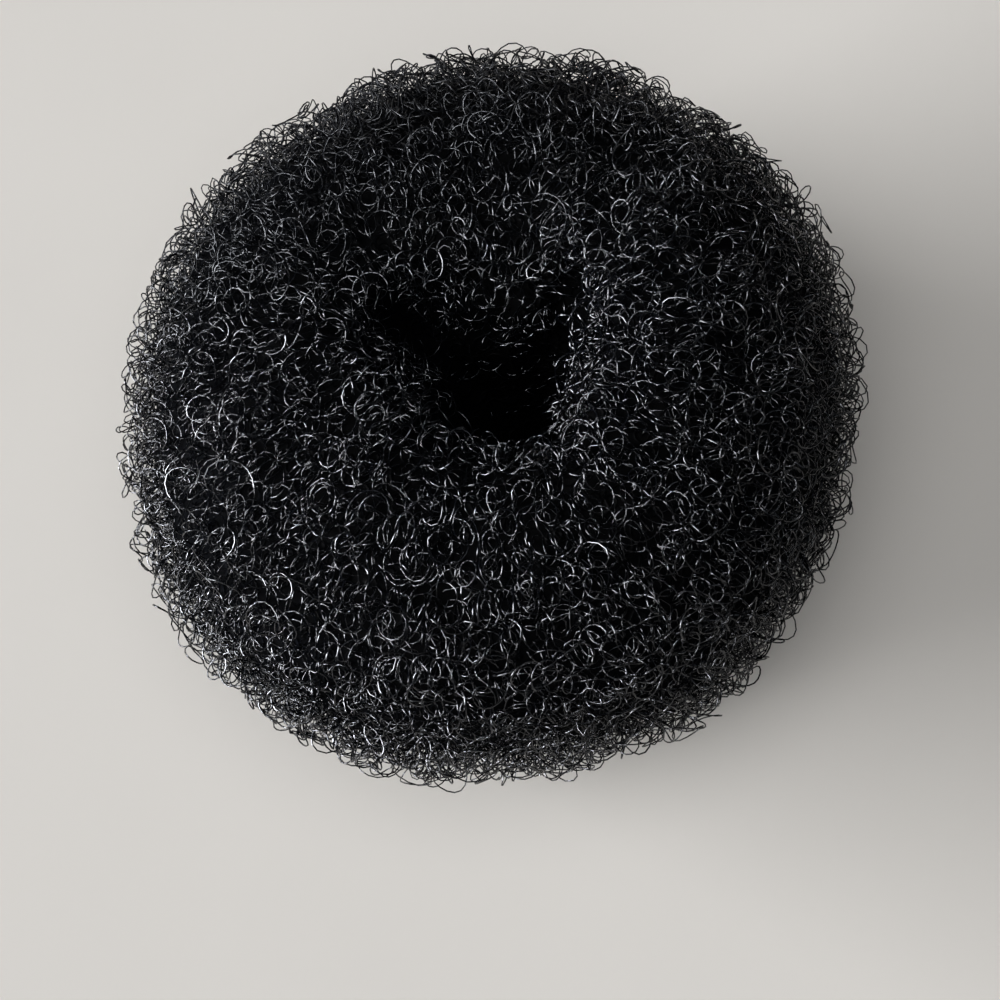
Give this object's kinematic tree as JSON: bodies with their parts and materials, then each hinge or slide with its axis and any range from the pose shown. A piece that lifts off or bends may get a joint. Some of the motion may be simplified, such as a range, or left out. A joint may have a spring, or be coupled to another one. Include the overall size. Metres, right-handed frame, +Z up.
{
  "type": "hair donut bun maker",
  "caption": "Soft plump ring of rolled black nylon net, its surface a mass of small springy curls, with a puckered hole that a ponytail is drawn through to shape a round bun.",
  "frame": {"origin": "middle of the ring's box, on the flat underside that the ring rests on", "axes": "+Z up through the hole; -Y is the side nearest the bottom edge of the picture and +X its right"},
  "size_m": [0.0828, 0.0848, 0.041],
  "materials": {
    "nylon_net": "glossy black curled filament"
  },
  "bodies": {
    "root": {"net_ring": "nylon_net"}
  },
  "joints": []
}
